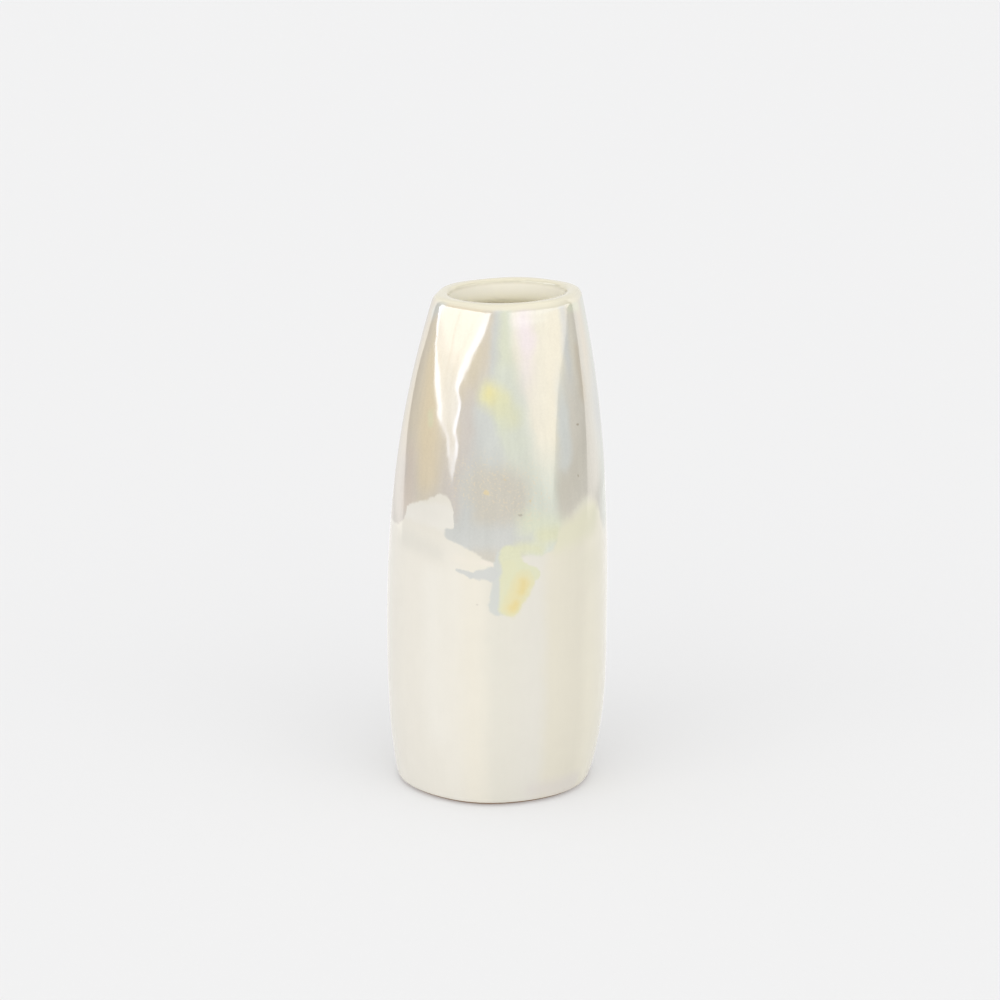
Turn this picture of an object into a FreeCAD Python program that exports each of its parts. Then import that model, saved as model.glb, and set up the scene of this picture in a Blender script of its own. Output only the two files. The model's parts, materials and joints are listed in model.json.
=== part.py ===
"""A ceramic bud vase: a thrown barrel with six soft flats pressed into it, glazed inside and out.

Frame: millimetres, +Z up, the foot stands on Z = 0 and the origin lies under the centre of the belly.
+X is to the right and -Y is the front. The three solids touch face to face:
  clay_body    the fired clay: wall, floor and bare foot
  outer_glaze  the lustred coat outside, from above the bare foot to the rounding of the lip
  liner_glaze  the plain cream coat inside, which is poured in and wraps over the top of the lip
"""
import FreeCAD, Part
import math
import os

# Overall form
HEIGHT = 120.0            # from the table to the top of the rim, on the vase's axis
BELLY_RADIUS = 26.7       # the widest radius
BELLY_HEIGHT = 37.0       # where the belly is widest
FOOT_TAPER = 3.3          # how much narrower than the belly the wall is at the table
FOOT_CURVE = 3.0          # power of the curve from belly to foot
SHOULDER_CURVE = 2.4      # power of the curve from belly to rim

# Mouth and lip
MOUTH_RADIUS = 13.8       # bore of the glazed throat
THROAT_LENGTH = 6.0       # depth over which the throat stays cylindrical, from the rim down
THROAT_BLEND = 5.0        # height over which the throat opens into the hollow below
LIP_WALL = 3.1            # glazed wall at the lip, at the middle of a flat
LIP_OUTER_SHARE = 0.742   # rounding of the lip's outer edge, as a share of that wall
LIP_INNER_SHARE = 0.322   # rounding of its inner edge, as a share of that wall
LIP_SEAM = 0.5            # how far below the rim the liner coat ends on the outer rounding

# Soft flats down the outside
FLATS = 6
FLAT_CENTRE_DEG = 20.0    # the middle of the first flat, turned from the front towards +X
FLAT_DEPTH_RIM = 0.7      # how far the middle of a flat is set in from the corners, at the rim
FLAT_DEPTH_FOOT = 0.3     # the same at the foot

# What the hand left: the rim stands a little to one side of the foot, and is not quite level
FOOT_LEAN = -0.9          # sideways place of the foot
FOOT_LEAN_CURVE = 3.0     # power of the curve of the centre line from belly to foot
RIM_LEAN = 2.4            # sideways place of the rim
RIM_LEAN_CURVE = 1.6      # power of the curve of the centre line from belly to rim
RIM_TILT_DEG = 1.54       # the rim's +X side is the higher one
TILT_CURVE = 2.6          # power of the growth of that tilt above the belly

# Walls, glaze and foot
WALL = 2.8                # glazed wall below the throat
FLOOR = 5.0               # glazed floor above the table
FLOOR_ROUND = 7.0         # rounding between the floor and the wall, inside
GLAZE = 0.35              # thickness of both coats of glaze
FOOT_ROUND = 2.0          # rounding of the foot's outer edge
GLAZE_LINE = 0.8          # height of bare clay below the outer coat
FOOT_RING = 4.5           # width of the ring that the vase stands on
FOOT_RECESS = 1.2         # depth of the hollow inside that ring
RECESS_ROUND = 0.8        # rounding at the root of that hollow

# Detail of the lofts
SECTIONS_BELOW = 4        # steps between sections from the foot to the belly
SECTIONS_ABOVE = 9        # steps between sections from the belly to the rim
SECTION_POINTS = 48       # points round a section

RIM_RADIUS = MOUTH_RADIUS + LIP_WALL + FLAT_DEPTH_RIM / 2
LIP_OUTER_ROUND = LIP_OUTER_SHARE * LIP_WALL
LIP_INNER_ROUND = LIP_INNER_SHARE * LIP_WALL
FOOT_RADIUS = BELLY_RADIUS - FOOT_TAPER
BLEND_OVERLAP = 1.0       # how far the closing shoulder and the throat run into each other
CLEAR = 10.0              # how far a cutting solid runs past what it cuts
PLANE_FIT = 0.01          # how near a plane an edge must lie to count as lying in it


def rise(z):
    """Share of the way from the belly up to the rim, zero under the belly."""
    return max(0.0, (z - BELLY_HEIGHT) / (HEIGHT - BELLY_HEIGHT))


def fall(z):
    """Share of the way from the belly down to the table, zero above the belly."""
    return max(0.0, (BELLY_HEIGHT - z) / BELLY_HEIGHT)


def mean_radius(z):
    """Radius of the glazed outside, halfway between flats and corners."""
    below = (BELLY_RADIUS - FOOT_RADIUS) * fall(z) ** FOOT_CURVE
    above = (BELLY_RADIUS - RIM_RADIUS) * rise(z) ** SHOULDER_CURVE
    return BELLY_RADIUS - below - above


def outer_radius(z, angle):
    """Radius of the glazed outside, which waves gently between flats and corners."""
    depth = FLAT_DEPTH_FOOT + (FLAT_DEPTH_RIM - FLAT_DEPTH_FOOT) * z / HEIGHT
    wave = math.cos(FLATS * (angle - math.radians(FLAT_CENTRE_DEG)))
    return mean_radius(z) - depth / 2 * wave


def lean(z):
    """Sideways place of a section's centre."""
    return FOOT_LEAN * fall(z) ** FOOT_LEAN_CURVE + RIM_LEAN * rise(z) ** RIM_LEAN_CURVE


def upward(z):
    """Unit vector square to the section at z."""
    tilt = math.radians(RIM_TILT_DEG) * rise(z) ** TILT_CURVE
    return FreeCAD.Vector(-math.sin(tilt), 0, math.cos(tilt))


def centre(z):
    """The middle of the section at z."""
    return FreeCAD.Vector(lean(z), 0, z)


def throat_centre(depth):
    """The point on the throat's axis that far below the rim."""
    return centre(HEIGHT) - upward(HEIGHT) * depth


def ring(middle, direction, radius_at):
    """A smooth closed wire round a middle point, square to a direction."""
    turn = FreeCAD.Rotation(FreeCAD.Vector(0, 0, 1), direction)
    points = []
    for i in range(SECTION_POINTS):
        angle = 2 * math.pi * i / SECTION_POINTS
        flat = FreeCAD.Vector(math.sin(angle), -math.cos(angle), 0) * radius_at(angle)
        points.append(middle + turn.multVec(flat))
    curve = Part.BSplineCurve()
    curve.interpolate(Points=points, PeriodicFlag=True, Parameters=list(range(SECTION_POINTS + 1)))
    return Part.Wire([curve.toShape()])


def section(z, radius_at):
    """The closed wire of the section at z."""
    return ring(centre(z), upward(z), lambda angle: radius_at(z, angle))


def steps(low, high, count):
    """Evenly spaced heights, both ends included."""
    return [low + (high - low) * i / count for i in range(count + 1)]


def sections(bottom, top, radius_at):
    """The sections from bottom to top, whose radius is given at each height and angle."""
    heights = steps(bottom, BELLY_HEIGHT, SECTIONS_BELOW)
    heights += steps(BELLY_HEIGHT, top, SECTIONS_ABOVE)[1:]
    return [section(z, radius_at) for z in heights]


def loft(wires):
    """A smooth solid through closed wires, from the lowest to the highest."""
    return Part.makeLoft(wires, True, False)


def edges_in_plane(solid, point, normal):
    """The edges of a solid that lie in a plane."""
    found = []
    for edge in solid.Edges:
        away = [abs((p - point).dot(normal)) for p in edge.discretize(12)]
        if max(away) < PLANE_FIT:
            found.append(edge)
    return found


def above_rim(depth):
    """Everything above a plane that lies depth below the rim."""
    size = 4 * BELLY_RADIUS
    block = Part.makeBox(size, size, HEIGHT, FreeCAD.Vector(-size / 2, -size / 2, 0))
    turn = FreeCAD.Rotation(FreeCAD.Vector(0, 0, 1), upward(HEIGHT))
    block.Placement = FreeCAD.Placement(throat_centre(depth), turn)
    return block


def full_form(coat):
    """The outside as a solid without a hollow, coat below the glazed surface."""
    up = FreeCAD.Vector(0, 0, 1)
    solid = loft(sections(0.0, HEIGHT, lambda z, angle: outer_radius(z, angle) - coat))
    solid = solid.makeFillet(FOOT_ROUND - coat, edges_in_plane(solid, FreeCAD.Vector(0, 0, 0), up))
    if coat > 0:
        solid = solid.cut(above_rim(coat))
    lip = edges_in_plane(solid, throat_centre(coat), upward(HEIGHT))
    return solid.makeFillet(LIP_OUTER_ROUND - coat, lip)


def throat(coat):
    """The cylindrical throat, with the round of the lip's inner edge at its upper end."""
    bore = MOUTH_RADIUS + coat
    round_radius = LIP_INNER_ROUND - coat
    low = -THROAT_LENGTH - BLEND_OVERLAP
    middle = FreeCAD.Vector(bore + round_radius, 0, -LIP_INNER_ROUND)
    half = math.sqrt(0.5) * round_radius
    arc = Part.Arc(
        FreeCAD.Vector(bore, 0, -LIP_INNER_ROUND),
        middle + FreeCAD.Vector(-half, 0, half),
        middle + FreeCAD.Vector(0, 0, round_radius),
    )
    straight = Part.makePolygon([
        middle + FreeCAD.Vector(0, 0, round_radius),
        middle + FreeCAD.Vector(0, 0, CLEAR),
        FreeCAD.Vector(0, 0, middle.z + CLEAR),
        FreeCAD.Vector(0, 0, low),
        FreeCAD.Vector(bore, 0, low),
        FreeCAD.Vector(bore, 0, -LIP_INNER_ROUND),
    ])
    face = Part.Face(Part.Wire(straight.Edges + [arc.toShape()]))
    solid = face.revolve(FreeCAD.Vector(0, 0, 0), FreeCAD.Vector(0, 0, 1), 360)
    turn = FreeCAD.Rotation(FreeCAD.Vector(0, 0, 1), upward(HEIGHT))
    solid.Placement = FreeCAD.Placement(throat_centre(0), turn)
    return solid


def hollow(coat):
    """The space inside the vase, widened by coat. Its shoulder closes in to meet the throat."""
    bottom = FLOOR - coat
    top = HEIGHT - THROAT_LENGTH - THROAT_BLEND
    slope = (mean_radius(top) - WALL - MOUTH_RADIUS) / THROAT_BLEND
    narrow = MOUTH_RADIUS + coat - slope * BLEND_OVERLAP
    wires = sections(bottom, top, lambda z, angle: mean_radius(z) - WALL + coat)
    wires.append(ring(throat_centre(THROAT_LENGTH - BLEND_OVERLAP), upward(HEIGHT), lambda angle: narrow))
    solid = loft(wires)
    floor = edges_in_plane(solid, FreeCAD.Vector(0, 0, bottom), FreeCAD.Vector(0, 0, 1))
    return solid.makeFillet(FLOOR_ROUND, floor).fuse(throat(coat))


def vessel(coat):
    """The hollow vase, everywhere coat below the glazed surface."""
    return full_form(coat).cut(hollow(coat))


def foot_recess():
    """The shallow hollow under the foot."""
    radius = FOOT_RADIUS - FOOT_ROUND - FOOT_RING
    disc = Part.makeCylinder(radius, FOOT_RECESS, FreeCAD.Vector(lean(0), 0, 0))
    root = edges_in_plane(disc, FreeCAD.Vector(0, 0, FOOT_RECESS), FreeCAD.Vector(0, 0, 1))
    return disc.makeFillet(RECESS_ROUND, root)


def table_slab():
    """The lowest slice of space, where the clay is left bare."""
    size = 4 * BELLY_RADIUS
    return Part.makeBox(size, size, GLAZE_LINE + CLEAR, FreeCAD.Vector(-size / 2, -size / 2, -CLEAR))


def inner_side():
    """All that lies within the middle of the wall, and all above the seam on the lip."""
    within = loft(sections(0.0, HEIGHT, lambda z, angle: mean_radius(z) - LIP_WALL / 2))
    return within.fuse(above_rim(LIP_SEAM))


def main():
    clay = vessel(GLAZE)
    coats = vessel(0.0).cut(clay).cut(table_slab())
    inner = inner_side()
    parts = {
        "clay_body": clay.cut(foot_recess()),
        "outer_glaze": coats.cut(inner),
        "liner_glaze": coats.common(inner),
    }
    os.makedirs("parts", exist_ok=True)
    for name, shape in parts.items():
        print(name, len(shape.Solids), "solid", shape.isValid(), round(shape.Volume, 1), "mm3")
        shape.exportStep(os.path.join("parts", name + ".step"))


main()
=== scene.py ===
# %% [markdown]
# # A ceramic bud vase
# The real vase is one pot of fired clay with two coats of glaze: a lustred coat outside, and a plain cream
# coat that was poured inside and wraps over the lip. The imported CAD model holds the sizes. This lesson
# measures it, models the clay and the two coats again as smooth quad meshes, gives each its own finish, and
# sets up the table, the lights and the camera. Everything is in metres, in the CAD model's own frame.

import json
import math

import bmesh
import bpy
import numpy as np
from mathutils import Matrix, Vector


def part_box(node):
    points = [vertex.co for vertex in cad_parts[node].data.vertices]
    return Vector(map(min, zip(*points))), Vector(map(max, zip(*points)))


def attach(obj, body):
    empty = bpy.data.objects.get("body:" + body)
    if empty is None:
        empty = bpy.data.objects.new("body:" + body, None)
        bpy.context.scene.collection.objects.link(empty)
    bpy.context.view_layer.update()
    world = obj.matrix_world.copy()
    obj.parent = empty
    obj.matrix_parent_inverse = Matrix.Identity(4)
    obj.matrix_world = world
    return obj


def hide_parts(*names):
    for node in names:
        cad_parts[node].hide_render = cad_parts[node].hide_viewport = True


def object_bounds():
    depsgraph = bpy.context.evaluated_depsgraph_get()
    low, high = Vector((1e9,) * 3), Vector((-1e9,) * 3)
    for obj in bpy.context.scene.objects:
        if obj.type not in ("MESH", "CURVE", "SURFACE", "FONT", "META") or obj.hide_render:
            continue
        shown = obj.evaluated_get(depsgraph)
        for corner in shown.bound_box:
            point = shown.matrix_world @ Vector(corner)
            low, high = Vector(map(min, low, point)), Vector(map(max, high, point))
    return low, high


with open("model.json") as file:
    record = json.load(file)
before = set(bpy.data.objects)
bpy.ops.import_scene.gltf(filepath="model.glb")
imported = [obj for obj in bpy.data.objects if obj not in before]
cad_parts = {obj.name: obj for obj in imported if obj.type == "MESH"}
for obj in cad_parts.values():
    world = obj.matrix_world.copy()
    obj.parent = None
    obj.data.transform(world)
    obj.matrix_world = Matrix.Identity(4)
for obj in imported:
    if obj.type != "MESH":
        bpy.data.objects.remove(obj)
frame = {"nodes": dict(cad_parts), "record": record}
cad_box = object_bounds()
MM = 0.001
HEIGHT = cad_box[1].z
print("CAD box", [[round(v, 4) for v in corner] for corner in cad_box])

# %% [markdown]
# ## Reading the shape from the CAD model
# A potter would set calipers on the pot at many heights. The same is done here: a plane cuts a CAD node's
# mesh, and the points where its edges cross the plane give that section's centre, its mean radius and the
# depth of its six flats, by least squares. The rim is not quite level, so the planes tilt towards the top.

# %% Calipers
FLATS = 6
TILT_START = 0.4  # share of the height where the sections begin to tilt
SLOT = 5  # degrees round the axis that are searched together for the outermost point
SKIN = 0.15 * MM  # how far from the outermost point a point still counts as on the same line
mouth = next(m for m in frame["record"]["mounts"] if m["name"] == "mouth")
RIM_UP = Vector(mouth["axis"])
RIM_TILT = math.atan2(-RIM_UP.x, RIM_UP.z)


def mesh_of(node):
    """A CAD node's points, and the point pairs that its edges join."""
    mesh = frame["nodes"][node].data
    points = np.array([v.co for v in mesh.vertices], float)
    pairs = np.array([e.vertices[:] for e in mesh.edges])
    return points, pairs


MESHES = {node: mesh_of(node) for node in ("clay_body", "outer_glaze", "liner_glaze")}


def tilt_at(z):
    """Slope of the section at z: none up to the belly, then growing towards the rim."""
    share = max(0.0, (z / HEIGHT - TILT_START) / (1 - TILT_START))
    return RIM_TILT * min(1.0, share) ** 2


def cut(node, z, tilt):
    """Where the node's edges cross a plane through the axis at z: distance along the slope, and y."""
    points, pairs = MESHES[node]
    height = (points[:, 2] - z) * math.cos(tilt) - points[:, 0] * math.sin(tilt)
    low, high = height[pairs[:, 0]], height[pairs[:, 1]]
    crossing = low * high < 0
    low, high = low[crossing], high[crossing]
    share = (low / (low - high))[:, None]
    first, second = points[pairs[crossing, 0]], points[pairs[crossing, 1]]
    found = first + (second - first) * share
    return found[:, 0] / math.cos(tilt), found[:, 1]


def outline(along, across, side):
    """Keeps the outer (side 1) or the inner (side -1) line of a section that has two."""
    distance = side * np.hypot(along, across)
    slot = np.floor(np.degrees(np.arctan2(along, -across)) / SLOT).astype(int) + 180 // SLOT
    best = np.full(slot.max() + 1, -1.0)
    np.maximum.at(best, slot, distance)
    keep = distance > best[slot] - SKIN
    return along[keep], across[keep]


def section(node, z, side=1, tilt=None):
    """One section as a dictionary: centre x, height z, radius, depth of the flats, tilt."""
    tilt = tilt_at(z) if tilt is None else tilt
    along, across = cut(node, z, tilt)
    middle = (along.max() + along.min()) / 2
    along, across = outline(along - middle, across, side)
    for _ in range(3):
        angle = np.arctan2(along, -across)
        waves = [np.ones_like(angle), np.sin(angle), np.cos(FLATS * angle), np.sin(FLATS * angle)]
        fit = np.linalg.lstsq(np.stack(waves, 1), np.hypot(along, across), rcond=None)[0]
        along = along - fit[1]
        middle += fit[1]
    return {
        "x": middle * math.cos(tilt),
        "z": z + middle * math.sin(tilt),
        "radius": fit[0],
        "flat": 2 * math.hypot(fit[2], fit[3]),
        "turn": math.atan2(-fit[3], -fit[2]) / FLATS,
        "tilt": tilt,
    }


for share in (0.02, 0.3, 0.65, 0.9):
    print({k: round(v, 5) for k, v in section("outer_glaze", share * HEIGHT).items()})

# %% [markdown]
# ## Raising a wall
# A wall of clay could be spun from a profile, but this one leans, tilts and changes from round to softly
# six-sided, so it is raised as a coil pot is: a circle is extruded to the next height, moved, widened and
# tilted there, again and again. Then, ring by ring, the points in the middle of each flat are pushed in and
# those at the corners pulled out. Forty-eight points round a ring put eight on each flat, and a Subdivision
# Surface modifier smooths between them. It draws a ring of points in a little, so rings start larger.

# %% Rings
SIDES = 48
PER_FLAT = SIDES // FLATS
STEP = 2 * math.pi / SIDES
TINY = 1e-6
ROUND_PULL = 3 / (2 + math.cos(STEP))
FLAT_PULL = 3 / (2 + math.cos(FLATS * STEP))
TURN = section("outer_glaze", 0.5 * HEIGHT)["turn"]


def start_clean():
    """Leaves edit mode and deselects everything, because an operator acts on all that is selected."""
    if bpy.context.object and bpy.context.object.mode != "OBJECT":
        bpy.ops.object.mode_set(mode="OBJECT")
    bpy.ops.object.select_all(action="DESELECT")


def choose_points(wall, wanted):
    """Selects the points of a mesh in edit mode whose index is wanted, and no others."""
    sheet = bmesh.from_edit_mesh(wall.data)
    for point in sheet.verts:
        point.select = wanted(point.index)
    sheet.select_flush_mode()
    bmesh.update_edit_mesh(wall.data)


def middle_of(ring):
    return Vector((ring["x"], 0, ring["z"]))


def first_ring(name, ring):
    """A circle at the first ring, with one point in the middle of a flat."""
    start_clean()
    bpy.ops.mesh.primitive_circle_add(
        vertices=SIDES, radius=ring["radius"] * ROUND_PULL, location=middle_of(ring),
        rotation=(0, -ring["tilt"], TURN % STEP),
    )
    wall = bpy.context.object
    wall.name = wall.data.name = name
    bpy.ops.object.transform_apply(location=True, rotation=True, scale=True)
    return wall


def next_ring(last, ring):
    """Extrudes the selected ring to the next one."""
    grow = ring["radius"] / last["radius"]
    lean = ring["tilt"] - last["tilt"]
    bpy.ops.mesh.extrude_region_move(TRANSFORM_OT_translate={"value": middle_of(ring) - middle_of(last)})
    bpy.ops.transform.resize(value=(grow, grow, grow), center_override=middle_of(ring))
    if abs(lean) > TINY:
        bpy.ops.transform.rotate(value=lean, orient_axis="Y", center_override=middle_of(ring))


def press_flats(wall, rings):
    """Pushes the flats in and the corners out, on the rings that have them."""
    bpy.ops.object.mode_set(mode="OBJECT")
    points = np.array([v.co for v in wall.data.vertices])
    bpy.ops.object.mode_set(mode="EDIT")
    for number, ring in enumerate(rings):
        if ring["flat"] == 0:
            continue
        members = range(number * SIDES, (number + 1) * SIDES)
        round_the_ring = {}
        for index in members:
            angle = math.atan2(points[index][0] - ring["x"], -points[index][1])
            place = round((angle - TURN) / STEP) % PER_FLAT
            round_the_ring.setdefault(min(place, PER_FLAT - place), set()).add(index)
        for place, indices in round_the_ring.items():
            wave = math.cos(FLATS * STEP * place) * FLAT_PULL
            if abs(wave) > TINY:
                size = 1 - ring["flat"] / 2 * wave / ring["radius"]
                choose_points(wall, indices.__contains__)
                bpy.ops.transform.resize(value=(size, size, size), center_override=middle_of(ring))


def raise_wall(name, rings):
    """A wall of quads through the rings, first to last, still open at both ends."""
    wall = first_ring(name, rings[0])
    bpy.ops.object.mode_set(mode="EDIT")
    bpy.ops.mesh.select_all(action="SELECT")
    for last, ring in zip(rings, rings[1:]):
        next_ring(last, ring)
    press_flats(wall, rings)
    print(name, len(rings), "rings")
    return wall


def sharpen_ring(wall, number):
    """Keeps one ring crisp through the smoothing, for a seam where two coats meet edge to edge."""
    members = range(number * SIDES, (number + 1) * SIDES)
    choose_points(wall, members.__contains__)
    bpy.ops.transform.edge_crease(value=1.0)
    bpy.ops.mesh.mark_sharp()


def close_last(wall, rings):
    """Draws the last ring together into one point."""
    first = (len(rings) - 1) * SIDES
    choose_points(wall, lambda index: index >= first)
    bpy.ops.mesh.merge(type="CENTER")


def face_outwards():
    bpy.ops.mesh.select_all(action="SELECT")
    bpy.ops.mesh.normals_make_consistent(inside=False)


def apply_modifier(wall, kind, **settings):
    """Adds a modifier with its settings and applies it."""
    modifier = wall.modifiers.new(kind.title(), kind)
    for name, value in settings.items():
        setattr(modifier, name, value)
    start_clean()
    wall.select_set(True)
    bpy.context.view_layer.objects.active = wall
    bpy.ops.object.modifier_apply(modifier=modifier.name)


def finish_wall(wall, thickness, levels=2):
    """Thickens an open skin inwards, smooths it and shades it smooth."""
    if thickness:
        apply_modifier(wall, "SOLIDIFY", thickness=thickness, offset=-1, use_even_offset=True)
    apply_modifier(wall, "SUBSURF", levels=levels, render_levels=levels)
    wall.data.polygons.foreach_set("use_smooth", [True] * len(wall.data.polygons))
    low, high = (Vector(c) for c in (wall.bound_box[0], wall.bound_box[6]))
    print(wall.name, len(wall.data.polygons), "faces,", [round(v / MM, 2) for v in high - low], "mm")
    return wall


# %% [markdown]
# ## The lip
# The rim's plane is tilted, so near it the calipers measure square to the mouth's axis, at depths below the
# rim. The outside rounds over with a large radius and the inside with a small one. The outer coat ends part
# of the way up the outer rounding, where the liner's overlap begins. Both coats share that ring exactly.

# %% The lip
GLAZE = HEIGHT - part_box("clay_body")[1].z
RIM_LEVEL, SEAM_LEVEL = (
    (MESHES[node][0] @ np.array(RIM_UP)).max() for node in ("liner_glaze", "outer_glaze")
)
SEAM_DEPTH = RIM_LEVEL - SEAM_LEVEL
NEAR = 0.03 * MM  # just inside a coat's very edge, where a section can still be cut
print("glaze", round(GLAZE / MM, 2), "mm thick, seam", round(SEAM_DEPTH / MM, 2), "mm below the rim")


def lip_ring(node, depth, side=1):
    """A section square to the mouth's axis, that far below the rim, along the outside or inside (-1)."""
    return section(node, (RIM_LEVEL - depth) / math.cos(RIM_TILT), side, tilt=RIM_TILT)


def moved_up(ring, rise):
    """The same ring further up the mouth's axis."""
    return ring | {"x": ring["x"] + RIM_UP.x * rise, "z": ring["z"] + RIM_UP.z * rise}


SEAM = moved_up(lip_ring("outer_glaze", SEAM_DEPTH + NEAR), NEAR)
MOUTH_ON_AXIS = Vector(mouth["pos_m"])
RIM_CENTRE = MOUTH_ON_AXIS + RIM_UP * (RIM_LEVEL - MOUTH_ON_AXIS.dot(RIM_UP))


def over_the_lip(node, top, outer_depths, inner_depths):
    """Up the outer rounding, over the crest and down the inner rounding; depths are below the top."""
    outer = [lip_ring(node, top + depth * MM) for depth in outer_depths]
    inner = [lip_ring(node, top + depth * MM, side=-1) | {"flat": 0.0} for depth in inner_depths]
    crest = moved_up(inner[0], inner_depths[0] * MM)
    crest["radius"] = (outer[-1]["radius"] + inner[0]["radius"]) / 2
    return [*outer, crest, *inner]


# %% [markdown]
# ## The outer coat
# The lustred glaze runs from just above the table, where the potter wiped the foot bare, up to the lip. Its
# rings are close together where the foot and the lip are rounded, and far apart on the long easy side.

# %% The outer coat
FOOT_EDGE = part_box("outer_glaze")[0].z
FOOT_STEPS = (0.7, 1.3, 2.2, 4.0, 6.5)
LIP_DEPTHS = (4.6, 3.4, 2.6, 2.0, 1.5, 1.1, 0.8)
SIDE_START = FOOT_EDGE + 10 * MM
SIDE_END = RIM_CENTRE.z - 7 * MM
SIDE_RINGS = 18
foot_heights = [FOOT_EDGE * 1.02, FOOT_EDGE * 1.25] + [FOOT_EDGE + step * MM for step in FOOT_STEPS]
side_heights = np.linspace(SIDE_START, SIDE_END, SIDE_RINGS)
coat_rings = [section("outer_glaze", z) for z in (*foot_heights, *side_heights)]
coat_rings += [lip_ring("outer_glaze", depth * MM) for depth in LIP_DEPTHS]
coat_rings.append(SEAM)

outer_coat = raise_wall("outer_coat", coat_rings)
sharpen_ring(outer_coat, len(coat_rings) - 1)
face_outwards()
bpy.ops.object.mode_set(mode="OBJECT")
finish_wall(outer_coat, GLAZE)

# %% [markdown]
# ## The liner coat
# The cream glaze was poured in, swirled round and tipped out, so one skin covers the floor, the wall and the
# throat, and wraps over the lip to meet the outer coat. The flats fade out across the lip, because the
# throat is round.

# %% The liner coat
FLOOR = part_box("liner_glaze")[0].z + GLAZE
FLOOR_ROUND = 7 * MM
FLOOR_STEPS = 4
FLOOR_SHARES = (0.75, 0.5, 0.25, 0.06)
THROAT = mouth["dims"]["length_mm"] * MM
THROAT_SHARES = (-0.2, 0.35)
HOLLOW_START = RIM_CENTRE.z - 6.5 * MM
HOLLOW_RINGS = 17


def hollow_rings(under=0.0):
    """Down the throat, out under the shoulder, down the wall and across the floor."""
    throat = [RIM_LEVEL - MOUTH_ON_AXIS.dot(RIM_UP) + THROAT * share for share in THROAT_SHARES]
    rings = [lip_ring("liner_glaze", depth, side=-1) for depth in throat]
    for z in np.linspace(HOLLOW_START, FLOOR + FLOOR_ROUND, HOLLOW_RINGS):
        rings.append(section("liner_glaze", z, side=-1))
    rings = [ring | {"radius": ring["radius"] + under, "flat": 0.0} for ring in rings]
    wall = rings[-1]
    inside = wall["radius"] - under - FLOOR_ROUND
    bend = FLOOR_ROUND + under
    for step in range(1, FLOOR_STEPS + 1):
        turn = math.pi / 2 * step / FLOOR_STEPS
        z = FLOOR + FLOOR_ROUND - bend * math.sin(turn)
        rings.append(wall | {"z": z, "radius": inside + bend * math.cos(turn)})
    for share in FLOOR_SHARES:
        rings.append(rings[-1] | {"radius": inside * share})
    return rings


liner_lip = over_the_lip("liner_glaze", 0.0, (0.28, 0.12, 0.03), (0.03, 0.12, 0.3, 0.55, 0.9))
liner_rings = [SEAM, *liner_lip, *hollow_rings()]
liner_coat = raise_wall("liner_coat", liner_rings)
sharpen_ring(liner_coat, 0)
close_last(liner_coat, liner_rings)
face_outwards()
bpy.ops.object.mode_set(mode="OBJECT")
finish_wall(liner_coat, GLAZE)

# %% [markdown]
# ## The clay
# Under the glaze is the fired clay itself. Almost all of it is hidden, but it is the real pot, so it is
# raised whole: from the middle of the shallow hollow under the foot, out over the ring that stands on the
# table, up the outside, over the lip and down to the floor inside. Only the bare foot will be seen.

# %% The clay body
RECESS_SHARES = (0.06, 0.35, 0.65, 0.9)
RECESS_EDGE = ((0.92, 0.965), (0.6, 1.0), (0.1, 1.0))  # shares of the hollow's depth and radius
CLAY_STEPS = (0.15, 0.5, 1.0, 1.7, 2.6, 4.2, 7.0)
EDGE_ROUND = 0.15 * MM
FOOT_ROUND = 1.2 * MM


def foot_rings():
    """From the middle of the hollow under the foot, out over the ring that it stands on."""
    points = MESHES["clay_body"][0]
    inner = section("clay_body", 0.3 * MM, side=-1) | {"flat": 0.0}
    outer = section("clay_body", EDGE_ROUND) | {"z": 0.0}
    inside = np.hypot(points[:, 0] - inner["x"], points[:, 1]) < inner["radius"]
    recess = points[inside & (points[:, 2] < FLOOR / 2), 2].max()
    rings = [inner | {"z": recess, "radius": inner["radius"] * share} for share in RECESS_SHARES]
    for level, share in RECESS_EDGE:
        rings.append(inner | {"z": recess * level, "radius": inner["radius"] * share})
    rings.append(inner | {"z": 0.0, "radius": inner["radius"] + EDGE_ROUND})
    rings.append(outer | {"radius": (inner["radius"] + outer["radius"]) / 2})
    rings.append(outer | {"radius": outer["radius"] - FOOT_ROUND})
    return rings


def clay_rings():
    """The whole outline of the clay, from under the foot to the floor inside."""
    rings = foot_rings()
    rings += [section("clay_body", step * MM) for step in CLAY_STEPS]
    rings += [section("clay_body", z) for z in side_heights]
    rings += [lip_ring("clay_body", depth * MM) for depth in LIP_DEPTHS[:4]]
    rings += over_the_lip("clay_body", GLAZE, (1.0, 0.55, 0.25, 0.08), (0.08, 0.25, 0.6))
    return rings + hollow_rings(GLAZE)


def close_first(wall):
    """Draws the first ring together into one point."""
    choose_points(wall, lambda index: index < SIDES)
    bpy.ops.mesh.merge(type="CENTER")


clay_outline = clay_rings()
clay = raise_wall("clay", clay_outline)
close_last(clay, clay_outline)
close_first(clay)
face_outwards()
bpy.ops.object.mode_set(mode="OBJECT")
finish_wall(clay, 0)

# %% [markdown]
# ## Writing shader maths as sums
# A finish is a sheet of nodes, and most of it is arithmetic on places and masks. A small class wraps a
# node's output and turns each Python operator into a Math node, so a mask reads as a formula.

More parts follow.
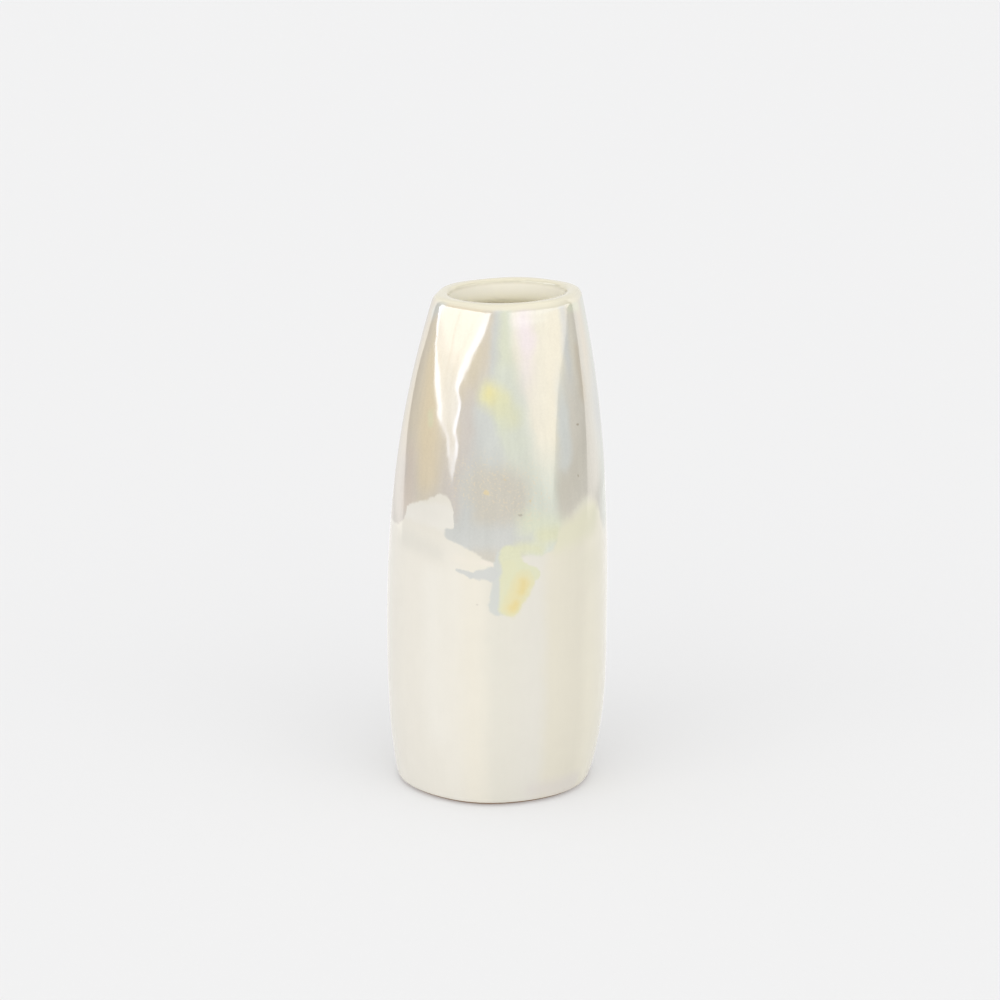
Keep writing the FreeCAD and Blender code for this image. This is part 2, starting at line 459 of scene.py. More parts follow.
# %% Node sheets
class Value:
    """A number, colour or vector that varies over a surface."""

    def __init__(self, sheet, socket):
        self.sheet = sheet
        self.socket = socket

    def maths(self, operation, *others):
        values = dict(enumerate((self, *others)))
        return self.sheet.node("ShaderNodeMath", {"operation": operation}, values)

    def __add__(self, other):
        return self.maths("ADD", other)

    def __sub__(self, other):
        return self.maths("SUBTRACT", other)

    def __mul__(self, other):
        return self.maths("MULTIPLY", other)

    def __truediv__(self, other):
        return self.maths("DIVIDE", other)

    def __pow__(self, other):
        return self.maths("POWER", other)

    def __rsub__(self, other):
        return self * -1 + other

    __radd__ = __add__
    __rmul__ = __mul__


class Sheet:
    """The node sheet of one finish."""

    def __init__(self, name):
        self.material = bpy.data.materials.new(name)
        self.material.use_nodes = True
        self.tree = self.material.node_tree
        self.tree.nodes.clear()

    def node(self, kind, settings=None, values=None, output=0):
        """Adds a node: its settings first, then its sockets' values or links. Gives back an output."""
        node = self.tree.nodes.new(kind)
        for name, setting in (settings or {}).items():
            if name == "stops":
                set_stops(node.color_ramp, setting)
            elif name == "points":
                set_points(node.mapping, setting)
            else:
                setattr(node, name, setting)
        for name, value in (values or {}).items():
            if isinstance(value, Value):
                self.tree.links.new(value.socket, node.inputs[name])
            else:
                node.inputs[name].default_value = value
        return None if output is None else Value(self, node.outputs[output])

    def mix(self, share, first, second):
        """The first colour where share is 0, the second where it is 1."""
        colours = {0: share, 6: first, 7: second}
        return self.node("ShaderNodeMix", {"data_type": "RGBA"}, colours, output=2)

    def ramp(self, place, stops):
        """A colour that changes with a place from 0 to 1."""
        settings = {"stops": stops}
        return self.node("ShaderNodeValToRGB", settings, {0: place})

    def soft(self, value, start, end):
        """0 at start and 1 at end, with a smooth change between, whichever is larger."""
        low, high, first, last = (start, end, 0.0, 1.0) if start < end else (end, start, 1.0, 0.0)
        settings = {"interpolation_type": "SMOOTHSTEP"}
        limits = {0: value, 1: low, 2: high, 3: first, 4: last}
        return self.node("ShaderNodeMapRange", settings, limits)

    def noise(self, place, scale, detail=2.0, roughness=0.5, stretch=(1, 1, 1), output=0):
        """Cloudy noise from 0 to 1, with scale features to a metre, stretched along some axes."""
        squeeze = {0: place, 3: [1 / s for s in stretch]}
        place = self.node("ShaderNodeMapping", {}, squeeze)
        values = {"Vector": place, "Scale": scale, "Detail": detail, "Roughness": roughness}
        return self.node("ShaderNodeTexNoise", {}, values, output)

    def surface(self, settings, links):
        """The finish itself: numbers that are the same all over, and values that change over it."""
        shader = self.node("ShaderNodeBsdfPrincipled", {}, settings | links)
        self.node("ShaderNodeOutputMaterial", {}, {"Surface": shader}, output=None)
        return self.material


def set_stops(ramp, stops):
    """Gives a colour ramp its stops: (place, colour) pairs in order."""
    ramp.interpolation = "EASE"
    while len(ramp.elements) < len(stops):
        ramp.elements.new(1.0)
    for element, (place, colour) in zip(ramp.elements, stops):
        element.position = place
        element.color = colour


def set_points(mapping, points):
    """Gives a curve its points: (place, value) pairs in order."""
    curve = mapping.curves[0]
    while len(curve.points) < len(points):
        curve.points.new(0.5, 0.5)
    for point, (place, value) in zip(curve.points, points):
        point.location = (place, value)
    mapping.update()


def paint(red, green, blue):
    """A colour given as on a paint chart, 0 to 255, as the linear colour that a shader takes."""
    def linear(part):
        part /= 255
        return part / 12.92 if part <= 0.04045 else ((part + 0.055) / 1.055) ** 2.4

    return (linear(red), linear(green), linear(blue), 1.0)


# %% [markdown]
# ## The lustred glaze
# Mother-of-pearl lustre is painted on over the fired glaze and fired again. It pools, runs and thins, and
# each thickness shows its own colour: gold, mauve, blue-grey, green, yellow. It covers the upper half and
# ends in a ragged edge with drips. That edge, the pale patches along it and the cream below it are partly
# the lustre and partly a painted reflection, where the gloss turns from mirroring the white table to the dim
# room.
# It could be a painted image, but formulas stay sharp at any size. Every place on the pot is named by an
# angle from the front and a height, both nudged by noise so that edges look brushed. Bands of colour follow
# the angle, a curve gives the height of the lustre's lower edge, and single strokes add the drips and the
# yellow and green runs.

# %% Places on the pot
BELLY_SHARE = 0.31
LEAN_POWER = 1.6
ARC = 2 * math.pi * section("outer_glaze", BELLY_SHARE * HEIGHT)["radius"] / 360 / MM


class PotSheet(Sheet):
    """A node sheet whose places are an angle in degrees from the front and a height in millimetres."""

    def __init__(self, name):
        super().__init__(name)
        self.place = self.node("ShaderNodeTexCoord", {}, {}, output=3)
        across = self.node("ShaderNodeSeparateXYZ", {}, {0: self.place}, output=0)
        ahead = self.node("ShaderNodeSeparateXYZ", {}, {0: self.place}, output=1)
        up = self.node("ShaderNodeSeparateXYZ", {}, {0: self.place}, output=2)
        share = (up / HEIGHT - BELLY_SHARE).maths("MAXIMUM", 0.0) / (1 - BELLY_SHARE)
        centre = share ** LEAN_POWER * RIM_CENTRE.x
        turn = (across - centre).maths("ARCTAN2", ahead * -1)
        self.angle = turn * math.degrees(1)
        self.height = up / MM

    def nudge(self, size, reach):
        """Moves angle and height by noise with features of a size, up to reach, both in millimetres."""
        scale = 1 / (size * MM)
        colour = self.noise(self.place, scale, output=1)
        first = self.node("ShaderNodeSeparateColor", {}, {0: colour}, output=0)
        second = self.node("ShaderNodeSeparateColor", {}, {0: colour}, output=1)
        self.angle = self.angle + (first - 0.5) * (2 * reach / ARC)
        self.height = self.height + (second - 0.5) * (2 * reach)

    def round_share(self):
        """The angle as a share of the way round, from behind, by the left and the front, to behind."""
        return (self.angle / 360 + 0.5).maths("FRACT")

    def stroke(self, start, end, widths, soft):
        """A mask for a brush stroke between two (angle, height) places, with a width at each."""
        along = (self.angle - start[0]).maths("WRAP", 180, -180) * ARC
        above = self.height - start[1]
        run, rise = (end[0] - start[0]) * ARC, end[1] - start[1]
        length = run * run + rise * rise
        share = ((along * run + above * rise) / length).maths("MAXIMUM", 0).maths("MINIMUM", 1)
        off = ((along - share * run) ** 2 + (above - share * rise) ** 2) ** 0.5
        width = share * (widths[1] - widths[0]) + widths[0]
        return self.soft(off - width / 2, soft / 2, -soft / 2)


def union(first, second):
    """A mask where either of two masks is."""
    return first.maths("MAXIMUM", second)


def stops_round(places):
    """Ramp stops from (angle, colour) pairs, closed behind the pot with the first and last colours mixed."""
    first, last = places[0][1], places[-1][1]
    seam = tuple((a + b) / 2 for a, b in zip(first, last))
    inner = [((angle + 180) / 360, colour) for angle, colour in places]
    return [(0.0, seam), *inner, (1.0, seam)]


# %% Colours of the lustre
# The lip's cream is painted darker than the liner: painted shade that offsets the stronger light falling on
# the upward-facing lip.
LIP_CREAM_WITH_PAINTED_SHADE = paint(211, 205, 183)
GOLD = paint(227, 214, 188)
TAN = paint(219, 209, 190)
UMBER = paint(211, 206, 193)
OLIVE = paint(207, 202, 188)
MAUVE = paint(213, 206, 197)
STEEL = paint(210, 211, 206)
BLUE = paint(214, 216, 210)
SAGE = paint(220, 223, 209)
LEAF = paint(223, 226, 201)
LIME = paint(224, 224, 190)
LEMON = paint(235, 231, 184)
AMBER = paint(231, 220, 170)
ROSE = paint(231, 222, 214)
PEARL = paint(229, 224, 205)
CREAM = paint(239, 234, 221)
GREY_CREAM = paint(230, 226, 214)
WARM_CREAM = paint(231, 225, 206)
# Lighter creams for the two sides that the camera sees edge-on: painted light.
PAINTED_SIDE_LIGHT_CREAM = paint(240, 235, 222)
PAINTED_SIDE_LIGHT_WARM = paint(241, 235, 214)

UPPER_BANDS = [
    (-165, BLUE), (-138, OLIVE), (-112, SAGE), (-88, MAUVE), (-66, TAN), (-54, GOLD), (-22, GOLD),
    (-13, TAN), (-6, STEEL), (0, paint(222, 224, 212)), (6, PEARL), (14, ROSE), (24, PEARL), (38, PEARL),
    (44, STEEL), (50, paint(220, 215, 200)), (58, UMBER), (66, TAN), (84, SAGE), (108, MAUVE),
    (134, BLUE), (158, PEARL),
]
MIDDLE_BANDS = [
    (-160, SAGE), (-130, GOLD), (-100, STEEL), (-70, TAN), (-48, GOLD), (-28, TAN), (-20, MAUVE),
    (-12, STEEL), (-5, BLUE), (2, SAGE), (10, SAGE), (18, PEARL), (30, PEARL),
    (37, BLUE), (44, paint(214, 209, 196)), (56, UMBER), (78, STEEL), (102, LEAF), (130, GOLD), (156, STEEL),
]
LOWER_BANDS = [
    (-160, MAUVE), (-130, STEEL), (-100, TAN), (-62, MAUVE), (-44, TAN), (-26, MAUVE), (-18, STEEL),
    (-10, UMBER), (4, UMBER), (11, UMBER), (18, SAGE), (28, SAGE),
    (36, OLIVE), (48, OLIVE), (62, UMBER), (80, SAGE), (104, GOLD), (132, SAGE), (156, STEEL),
]
# The pale bands at about 56 to 70 degrees to each side are painted light. They make up for the light that
# the sides seen edge-on lack.
BODY_BANDS = [
    (-150, CREAM), (-110, GREY_CREAM), (-70, PAINTED_SIDE_LIGHT_CREAM), (-56, PAINTED_SIDE_LIGHT_CREAM), (-40, CREAM), (-24, CREAM),
    (-12, paint(238, 232, 216)), (1, paint(229, 225, 211)), (20, GREY_CREAM), (30, WARM_CREAM),
    (44, WARM_CREAM), (57, PAINTED_SIDE_LIGHT_WARM), (68, PAINTED_SIDE_LIGHT_WARM), (100, CREAM), (140, WARM_CREAM),
]
COLOUR_DEPTH = 0.845  # how much of the painted colour the coat gives back under these lights
LOWER_TO_MIDDLE = (78, 92)
MIDDLE_TO_UPPER = (94, 110)
NUDGES = ((9, 1.0), (2.0, 0.55), (0.5, 0.14))  # size and reach of each wander of the brush
EDGE_LOW, EDGE_HIGH = 45.0, 85.0
# Height of the lustre's lower edge round the pot. It is partly the lustre's own edge and partly a painted
# reflection edge, where the gloss turns from the white table to the dim room.
LUSTRE_EDGE_AND_PAINTED_REFLECTION = [
    (-180, 63), (-160, 57), (-140, 66), (-118, 61), (-96, 70), (-78, 66), (-65, 66.5), (-59.5, 68.5),
    (-56.5, 72), (-44, 73.8), (-37, 75.1), (-32.5, 76.2), (-28, 75), (-25, 73), (-24, 67), (-21, 65.5),
    (-15, 64.4), (-9, 62.9), (-3, 61.3), (10, 62.4), (24, 62.7), (29.5, 63.8), (32.5, 67.5), (36, 69.8),
    (41, 70.9), (46, 72.4), (52, 73.5), (64, 71), (78, 64), (98, 70), (120, 58), (145, 66), (180, 63),
]

# %% Strokes of the brush: start and end (angle, height), width at each, softness, strength, colour
WASHES = [
    ((-67, 116.5), (-58, 118.6), (3, 4), 3, 0.8, BLUE),
    ((-66, 80), (-58, 74), (5, 6), 4, 0.6, MAUVE),
    ((-52, 106), (-44, 80), (5, 7), 5, 0.5, paint(230, 213, 178)),
    ((-60, 84), (-57, 72), (4, 5), 4, 0.5, paint(222, 206, 188)),
    ((-47.5, 94), (-46.5, 92), (2, 2), 2, 0.6, LIME),
    ((-18, 109), (-20, 104), (3, 4), 4, 0.5, paint(216, 206, 180)),
    ((-24, 96), (-22, 84), (2, 3), 3, 0.6, MAUVE),
    ((-5, 116), (-5, 106), (2.5, 2), 2.5, 0.9, STEEL),
    ((-2, 118), (1, 104), (3.0, 5), 4, 0.8, LEAF),
    ((1, 104), (8, 90), (6, 8), 5, 0.9, SAGE),
    ((-3, 95), (8, 89), (3, 5), 4, 0.8, LEAF),
    ((8, 90), (22, 74), (7, 6), 5, 0.8, SAGE),
    ((-12, 96), (-4, 86), (3.5, 6), 4, 0.8, BLUE),
    ((-9, 100.2), (-1, 98.6), (5.0, 4.4), 4.5, 1.0, LEMON),
    ((-8, 100.6), (-5, 99.4), (2.4, 2.4), 3, 0.8, paint(236, 226, 166)),
    ((-1, 98), (6, 95), (5, 4), 5, 0.8, LIME),
    ((38, 94), (37, 84), (3.5, 4), 3, 0.8, BLUE),
    ((54, 109), (55, 98), (2.4, 3), 3, 0.6, paint(207, 195, 174)),
    ((52, 118.5), (66, 117.5), (2.4, 3), 2, 0.7, LEAF),
    ((10, 116), (16, 112), (4, 5), 4, 0.6, paint(234, 222, 224)),
    ((-14, 79), (8, 78), (7, 8), 6, 0.7, UMBER),
    ((-24, 67.5), (12, 67.5), (6, 6), 4, 0.9, STEEL),
    ((16, 70), (34, 69), (6, 3), 5, 0.9, LEAF),
    ((23, 66.8), (30, 67), (4, 3.4), 3, 0.9, LIME),
    ((10, 64.5), (22, 63.6), (3, 2.4), 2.5, 0.9, LIME),
    ((44, 71.2), (52, 72.6), (1.6, 2.4), 2, 0.6, SAGE),
]
# The pale strokes along the lustre's edge, between 58 and 72 mm, are partly a painted reflection of the
# white table.
TINTS = [
    ((33, 66), (56, 69), (6, 8), 5, 0.9, paint(229, 226, 198)),
    ((40, 60), (58, 58), (6, 8), 8, 0.3, paint(229, 225, 202)),
    ((-57, 70.5), (-30, 71), (4, 6), 2, 0.9, paint(242, 238, 228)),
    ((-60, 64), (-34, 62.5), (4, 4), 4, 0.7, paint(229, 225, 213)),
    ((-22, 62), (-8, 61.2), (2, 1), 2, 0.6, paint(242, 235, 220)),
    ((-8, 61.4), (-2.4, 60.6), (1.4, 0.8), 0.6, 1.0, paint(240, 232, 218)),
    ((22, 3.5), (50, 3), (4, 5), 4, 0.7, paint(226, 219, 211)),
    ((-36, 56), (-34, 18), (4, 6), 7, 0.6, paint(243, 239, 228)),
]
RUNS = [
    ((-26.6, 67.4), (-22, 67.3), (2.6, 3), 0.7, 0.95, STEEL),
    ((2.2, 63), (0.4, 51), (3.4, 4.8), 0.9, 0.95, paint(211, 213, 206)),
    ((-21, 59.3), (-13, 58.4), (0.5, 1.5), 0.5, 0.9, STEEL),
    ((-13, 58.3), (-4, 58.6), (1.4, 3.2), 0.6, 0.95, STEEL),
    ((6, 63), (9, 59), (5.4, 5.4), 1.0, 0.95, LIME),
    ((9, 59.4), (18.6, 58.3), (4.4, 3.6), 0.6, 0.95, LIME),
    ((5.5, 60), (5.5, 50.6), (4.0, 4.6), 1.0, 0.95, paint(225, 224, 188)),
    ((7, 50.8), (13.5, 57), (4.8, 5.4), 0.7, 0.95, paint(226, 223, 184)),
    ((7.0, 50.4), (12.8, 56.4), (3.6, 4.2), 3, 0.95, AMBER),
    ((12.2, 54.6), (13.4, 56.6), (1.8, 1.8), 2.0, 0.7, paint(232, 212, 144)),
    ((8.0, 50.6), (9.6, 51.6), (2.0, 1.8), 2.0, 0.8, paint(233, 213, 146)),
]
MARKS = [
    ((-7.4, 77.9), (-6.4, 77.7), (1.2, 0.9), 0.35, 0.9, paint(228, 212, 172)),
    ((16, 75.8), (16.3, 75.6), (0.6, 0.5), 0.3, 0.7, paint(226, 208, 168)),
    ((2, 80.8), (2.2, 80.6), (0.5, 0.5), 0.3, 0.7, paint(226, 208, 168)),
    ((48, 91.6), (48.5, 91.4), (0.8, 0.6), 0.3, 0.8, paint(176, 166, 148)),
    ((46.4, 79.9), (46.6, 79.7), (0.6, 0.6), 0.3, 0.7, paint(180, 170, 152)),
    ((10.6, 72.2), (10.8, 72.1), (0.6, 0.5), 0.3, 0.7, paint(180, 172, 158)),
    ((-11, 51.3), (-10.8, 51.2), (0.5, 0.5), 0.4, 0.5, paint(206, 198, 184)),
]


# %% The lustred finish
def brush(sheet, colour, strokes):
    """Lays strokes over a colour, one after another."""
    for start, end, widths, soft, strength, paint_colour in strokes:
        colour = sheet.mix(sheet.stroke(start, end, widths, soft) * strength, colour, paint_colour)
    return colour


def lustre_finish():
    sheet = PotSheet("lustred glaze")
    still = sheet.height
    for size, reach in NUDGES:
        sheet.nudge(size, reach)
    round_pot = sheet.round_share()
    curve = [((a + 180) / 360, (h - EDGE_LOW) / (EDGE_HIGH - EDGE_LOW)) for a, h in LUSTRE_EDGE_AND_PAINTED_REFLECTION]
    edge = sheet.node("ShaderNodeFloatCurve", {"points": curve}, {0: 1.0, 1: round_pot})
    edge = edge * (EDGE_HIGH - EDGE_LOW) + EDGE_LOW
    spread = sheet.soft(sheet.angle, 26, 36) * 4 + 1
    # Where the lustre lies. Its lower edge is partly a painted reflection edge, with cream below it and
    # darker lustre above it.
    lustre_and_painted_reflection = sheet.soft((sheet.height - edge) / spread, -0.45, 0.45)

    body = brush(sheet, sheet.ramp(round_pot, stops_round(BODY_BANDS)), TINTS)
    upper = sheet.ramp(round_pot, stops_round(UPPER_BANDS))
    middle = sheet.ramp(round_pot, stops_round(MIDDLE_BANDS))
    lower = sheet.ramp(round_pot, stops_round(LOWER_BANDS))
    bands = sheet.mix(sheet.soft(sheet.height, *LOWER_TO_MIDDLE), lower, middle)
    bands = brush(sheet, sheet.mix(sheet.soft(sheet.height, *MIDDLE_TO_UPPER), bands, upper), WASHES)

    fine = sheet.noise(sheet.place, 1 / (0.5 * MM), detail=3)
    specks = sheet.stroke((-16, 80), (14, 77), (12, 13), 8) * sheet.soft(fine, 0.56, 0.64)
    bands = sheet.mix(specks * 0.6, bands, GOLD)
    colour = brush(sheet, sheet.mix(lustre_and_painted_reflection, body, bands), RUNS + MARKS)

    streaks = sheet.noise(sheet.place, 1 / (1.2 * MM), stretch=(1, 1, 9))
    clouds = sheet.noise(sheet.place, 1 / (5 * MM), detail=3)
    grain = (lustre_and_painted_reflection * 0.8 + 0.2) * ((fine - 0.5) * 0.1 + (streaks - 0.5) * 0.08) + (clouds - 0.5) * 0.03
    colour = sheet.node("ShaderNodeVectorMath", {"operation": "SCALE"}, {0: colour, 3: grain + COLOUR_DEPTH})
    # Towards the top of the rim the colour turns to the lip's darker cream: painted shade against the light
    # from above.
    lip_shade = sheet.soft(RIM_CENTRE.z / MM - still, 1.6, 0.8)
    colour = sheet.mix(lip_shade * 0.9, colour, LIP_CREAM_WITH_PAINTED_SHADE)
    ripple = sheet.noise(sheet.place, 1 / (7 * MM), detail=1)
    skin = sheet.node("ShaderNodeBump", {}, {"Strength": 0.1, "Distance": 0.4 * MM, "Height": ripple})
    roughness = (fine - 0.5) * 0.05 + 0.07
    return sheet.surface(
        {"IOR": 1.75, "Specular IOR Level": 0.5},
        {"Base Color": colour, "Roughness": roughness, "Normal": skin},
    )


# %% [markdown]
# ## The liner glaze and the bare clay
# The liner is a cream gloss with a faint mottle. It is painted yellower deeper in the neck, which is painted
# bounce light, and darker on the lip, which is painted shade. The foot was wiped clean before firing, so it
# shows
# the clay: matt, sandy and toasted brown where the glaze stops.

# %% The liner and clay finishes
def liner_finish():
    sheet = Sheet("cream liner glaze")
    place = sheet.node("ShaderNodeTexCoord", {}, {}, output=3)
    cloud = sheet.noise(place, 1 / (8 * MM), detail=3)
    colour = sheet.mix(cloud, paint(252, 246, 222), paint(251, 244, 214))
    along = sheet.node("ShaderNodeVectorMath", {"operation": "DOT_PRODUCT"}, {0: place, 1: RIM_UP}, output=1)
    depth = RIM_LEVEL / MM - along / MM
    # Paler near the rim, yellower deeper in: the yellow deeper in is painted bounce light from inside the
    # neck.
    colour = sheet.mix(sheet.soft(depth, 7, 2), colour, paint(252, 248, 234))
    # On the lip the liner turns to the same darker cream: painted shade against the light from above.
    colour = sheet.mix(sheet.soft(depth, 1.6, 0.3), colour, LIP_CREAM_WITH_PAINTED_SHADE)
    ripple = sheet.noise(place, 1 / (6 * MM), detail=1)
    skin = sheet.node("ShaderNodeBump", {}, {"Strength": 0.1, "Distance": 0.4 * MM, "Height": ripple})
    fine = sheet.noise(place, 1 / (0.8 * MM))
    roughness = fine * 0.06 + 0.07
    return sheet.surface({"IOR": 1.6}, {"Base Color": colour, "Roughness": roughness, "Normal": skin})


def clay_finish():
    sheet = Sheet("bare clay")
    place = sheet.node("ShaderNodeTexCoord", {}, {}, output=3)
    sand = sheet.noise(place, 1 / (0.5 * MM), detail=4, roughness=0.7)
    cloud = sheet.noise(place, 1 / (5 * MM), detail=3)
    colour = sheet.mix(cloud, paint(150, 118, 86), paint(112, 84, 60))
    colour = sheet.mix(sheet.soft(sand, 0.62, 0.7), colour, paint(78, 58, 44))
    skin = sheet.node("ShaderNodeBump", {}, {"Strength": 0.5, "Distance": 0.15 * MM, "Height": sand})
    roughness = sand * 0.2 + 0.7
    return sheet.surface({"IOR": 1.5}, {"Base Color": colour, "Roughness": roughness, "Normal": skin})


def dress(piece, finish, node):
    """Gives a piece its finish and its place in the CAD model."""
    piece.data.materials.clear()
    piece.data.materials.append(finish)
    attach(piece, "root")
    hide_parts(node)


dress(outer_coat, lustre_finish(), "outer_glaze")
dress(liner_coat, liner_finish(), "liner_glaze")
dress(clay, clay_finish(), "clay_body")

# %% [markdown]
# ## The table and the light
# The pot stands on a wide pale sheet, and broad soft lights from the front and above light it evenly. What
# the gloss mirrors is set apart from that, and is seen by nothing else. A disc of white paper stands in for
# the sheet. The rest is painted on the inside of a great ball round the pot: a dim room, two tall bright
# windows in front, and white boards behind and to the sides. Each edge is an angle from the front that
# changes with the elevation.

# %% The stage
EYE = 0.09  # height of the middle of the mirrored room
MIRROR_RADIUS = 1.2
TABLE_RADIUS = 4.0
PAPER_RADIUS = 0.3
PAPER_GRAIN = 900
WHITE = (1.0, 1.0, 1.0, 1.0)


def plain(name, colour, glow=0.0):
    """A matt sheet. Any glow it has is painted light, which lifts the shadows cast on it."""
    sheet = Sheet(name)
    place = sheet.node("ShaderNodeTexCoord", {}, {}, output=3)
    grain = sheet.noise(place, PAPER_GRAIN, detail=2)
    shade = sheet.mix(grain, colour, tuple(c * 0.985 for c in colour[:3]) + (1.0,))
    matt = {"Roughness": 1.0, "Specular IOR Level": 0.0}
    lit = {"Emission Color": WHITE, "Emission Strength": glow}
    return sheet.surface(matt | lit, {"Base Color": shade})


def seen_by(thing, camera=False, diffuse=False, glossy=False, shadow=False):
    """Which rays meet a stage piece."""
    thing.visible_camera = camera
    thing.visible_diffuse = diffuse
    thing.visible_glossy = glossy
    thing.visible_shadow = shadow
    thing.visible_transmission = diffuse


start_clean()
bpy.ops.mesh.primitive_circle_add(vertices=96, radius=TABLE_RADIUS, fill_type="NGON")
table = bpy.context.object
table.name = "table"
# The table's glow is painted light that lifts the pot's shadows on it, so its own colour is set darker.
table.data.materials.append(plain("white table", paint(191, 191, 191), 0.275))
seen_by(table, camera=True, shadow=True)

start_clean()
bpy.ops.mesh.primitive_circle_add(
    vertices=96, radius=PAPER_RADIUS, fill_type="NGON", location=(0, 0, 0.02 * MM),
)
paper = bpy.context.object
paper.name = "paper"
paper.data.materials.append(plain("white paper", paint(246, 246, 246)))
seen_by(paper, glossy=True)


# %% What the gloss mirrors
MIRROR_STRENGTH = 7.5


def glowing(strength, red=1.0, green=1.0, blue=1.0):
    """The colour that glows with a strength, as a share of the strongest."""
    return tuple(strength * part / MIRROR_STRENGTH for part in (red, green, blue)) + (1.0,)


class RoomSheet(Sheet):
    """A node sheet whose places are directions from the pot: an angle from the front, an elevation."""

    def __init__(self, name):
        super().__init__(name)
        place = self.node("ShaderNodeTexCoord", {}, {}, output=3)
        across, ahead, up = (
            self.node("ShaderNodeSeparateXYZ", {}, {0: place}, output=axis) for axis in range(3)
        )
        level = (across ** 2 + ahead ** 2) ** 0.5
        self.angle = across.maths("ARCTAN2", ahead * -1) * math.degrees(1)
        self.elevation = up.maths("ARCTAN2", level) * math.degrees(1)

    def edge(self, places):
        """An angle that changes with the elevation, by a curve through (elevation, angle) places."""
        low, high = places[0][0], places[-1][0]
        share = (self.elevation - low) / (high - low)
        points = [((level - low) / (high - low), angle / 360 + 0.5) for level, angle in places]
        curve = self.node("ShaderNodeFloatCurve", {"points": points}, {0: 1.0, 1: share})
        return (curve - 0.5) * 360

    def between(self, left, right, soft_left=1.0, soft_right=1.0):
        """A mask between two edges, each with its own softness in degrees."""
        after = self.soft(self.angle - left, -soft_left / 2, soft_left / 2)
        before = self.soft(right - self.angle, -soft_right / 2, soft_right / 2)
        return after * before


LEFT_OUTER = [
    (-3.5, -61), (-2.5, -64), (-1.5, -67), (0, -70), (1, -72), (2, -79), (3.6, -84), (5.2, -90), (6.4, -93),
    (7.4, -99), (8, -106), (14, -109), (24, -110),
]
LEFT_INNER = [
    (-3.5, -60), (-2, -59), (0, -57), (1, -58.5), (2, -62.5), (3.3, -62), (5, -60.5), (7, -66.5), (8.2, -65),
    (10.7, -57), (14, -44), (16.5, -35), (18.5, -29), (24, -27),
]
RIGHT_OUTER = [
    (-8, 52), (-5, 54), (-1, 55.5), (2.2, 59), (4.6, 64), (5.6, 76), (6.2, 94), (8, 103), (24, 106),
]
RIGHT_INNER = [
    (-8, 50), (-6.5, 45.5), (-2.5, 38.5), (2.6, 34.3), (7.3, 31), (9.6, 26), (14, 20), (18, 16), (24, 13),
]
PANE_LINES = [
    [(0, -69), (1, -69.6), (6.8, -79.5), (8, -80)],
    [(0, -66), (1, -67), (7.1, -75), (15, -63), (19, -52)],
]
BOARD_LEFT = [(-13, -114), (-8.3, -120), (-6, -130), (-3, -134), (1.8, -128), (12, -126)]
BOARD_RIGHT = [(-13, 106), (-10, 110), (-7, 114), (-4, 116), (0, 119), (12, 121)]
BOARD_NEAR = glowing(1.75, 1.0, 0.97, 0.93)
BOARD_FAR = glowing(0.95)
PAPER_LIGHT = glowing(0.95)
RIGHT_COOL = glowing(1.6, 1.0, 0.93, 1.0)
RIGHT_WARM = glowing(2.5, 1.0, 0.88, 0.74)
RIGHT_FOOT = glowing(1.5, 1.0, 0.95, 0.86)
RIGHT_HEAD = glowing(2.8, 0.98, 0.97, 1.0)
LEFT_TONES = [
    (0.0, glowing(3.6, 0.9, 0.94, 1.0)), (0.14, glowing(3.4, 0.9, 0.94, 1.0)), (0.2, glowing(2.4)),
    (0.3, glowing(3.4, 0.92, 0.96, 1.0)), (0.42, glowing(3.2, 0.86, 0.93, 1.0)),
    (0.52, glowing(3.2, 0.88, 0.94, 1.0)), (0.62, glowing(4.6, 0.98, 0.98, 1.0)),
    (1.0, glowing(5.4, 0.93, 0.96, 1.0)),
]


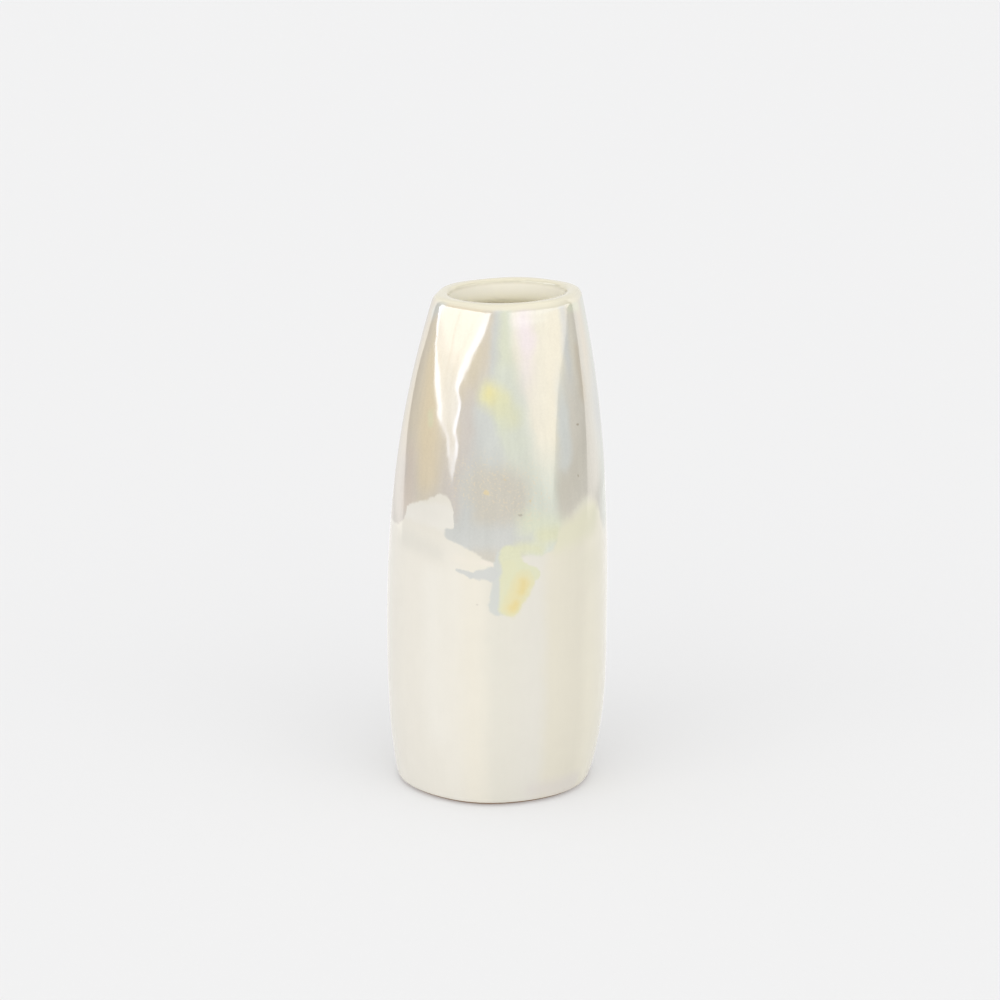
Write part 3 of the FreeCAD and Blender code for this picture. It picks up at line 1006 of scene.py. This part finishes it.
def room_finish():
    sheet = RoomSheet("mirrored room")
    dim, full = glowing(0.16), glowing(7.4, 0.76, 0.83, 1.0)
    glow = sheet.mix(sheet.soft(sheet.elevation, 12, 60), dim, glowing(1.2))
    glow = sheet.mix(sheet.soft(sheet.elevation, -7, -13), glow, PAPER_LIGHT)
    no_board = sheet.between(sheet.edge(BOARD_LEFT), sheet.edge(BOARD_RIGHT), 1.5, 1.5)
    boards = (1 - no_board) * sheet.soft(sheet.elevation, -14.5, -12.5)
    far = sheet.soft(sheet.angle.maths("ABSOLUTE"), 125, 165)
    glow = sheet.mix(boards, glow, sheet.mix(far, BOARD_NEAR, BOARD_FAR))

    below_top = sheet.soft(sheet.elevation, 27, 21)
    left, right = sheet.edge(LEFT_OUTER), sheet.edge(LEFT_INNER)
    pane = sheet.between(left, right, 1.2, 1.2)
    inside = sheet.ramp((sheet.elevation + 4) / 24, LEFT_TONES)
    pane = pane * below_top
    glow = sheet.mix(pane, glow, inside)
    outer_band = sheet.between(left, left + sheet.soft(sheet.elevation, 1, 7) * 6 + 2.5, 1.2, 2.5)
    outer_band = outer_band * sheet.soft(sheet.elevation, 14, 11)
    inner_band = sheet.between(right - (sheet.soft(sheet.elevation, 5, 14) * 8 + 3.5), right, 2, 1.2)
    inner_band = inner_band * (sheet.soft(sheet.elevation, 20, 15) * 0.85 + 0.15)
    bright = union(outer_band, inner_band) * pane * sheet.soft(sheet.elevation, -2.5, 1.5)
    glow = sheet.mix(bright, glow, full)
    for places in PANE_LINES:
        line = sheet.between(sheet.edge(places) - 0.5, sheet.edge(places) + 0.5, 0.7, 0.7)
        glow = sheet.mix(line * pane * 0.35, glow, dim)

    pane = sheet.between(sheet.edge(RIGHT_INNER), sheet.edge(RIGHT_OUTER), 14, 1.2) * below_top
    tone = sheet.mix(sheet.soft(sheet.angle, 30, 56), RIGHT_COOL, RIGHT_WARM)
    tone = sheet.mix(sheet.soft(sheet.elevation, 0, -7), tone, RIGHT_FOOT)
    tone = sheet.mix(sheet.soft(sheet.elevation, 12.5, 15), tone, RIGHT_HEAD)
    glow = sheet.mix(pane, glow, tone)
    return sheet.surface(
        {"Base Color": (0, 0, 0, 1), "Specular IOR Level": 0.0, "Emission Strength": MIRROR_STRENGTH},
        {"Emission Color": glow},
    )


start_clean()
bpy.ops.mesh.primitive_uv_sphere_add(segments=64, ring_count=32, radius=MIRROR_RADIUS, location=(0, 0, EYE))
room = bpy.context.object
room.name = "room"
room.data.materials.append(room_finish())
seen_by(room, glossy=True)


def soft_light(name, angle, elevation, width, strength):
    """A distant light as wide as a window, which the gloss doesn't mirror."""
    start_clean()
    turn = (math.radians(90 - elevation), 0, math.radians(angle))
    bpy.ops.object.light_add(type="SUN", rotation=turn)
    light = bpy.context.object
    light.name = name
    light.data.angle = math.radians(width)
    light.data.energy = strength
    light.visible_glossy = False
    return light


soft_light("key_light", -38, 22, 60, 0.65)
soft_light("fill_light", 38, 20, 60, 0.5)
soft_light("sky_light", 0, 62, 110, 1.1)

world = bpy.data.worlds.new("studio")
bpy.context.scene.world = world
world.use_nodes = True
background = world.node_tree.nodes["Background"]
background.inputs["Color"].default_value = paint(254, 254, 255)
background.inputs["Strength"].default_value = 0.75

# %% [markdown]
# ## The camera
# A long lens from a little above, as for a small object on a table.

# %% The camera
HIGH_SIDE = 1.0035  # height of the rim's high side over that of its centre
CAMERA_DISTANCE = 5.23 * HEIGHT / HIGH_SIDE
CAMERA_HEIGHT = 2.049 * HEIGHT / HIGH_SIDE
LOOK_DOWN = 15.74
start_clean()
bpy.ops.object.camera_add(
    location=(0.7 * MM, -CAMERA_DISTANCE, CAMERA_HEIGHT), rotation=(math.radians(90 - LOOK_DOWN), 0, 0),
)
camera = bpy.context.object
camera.data.sensor_width = 36
camera.data.lens = 98.2
camera.data.clip_start = 0.01
bpy.context.scene.camera = camera
bpy.context.scene.view_settings.view_transform = "Standard"
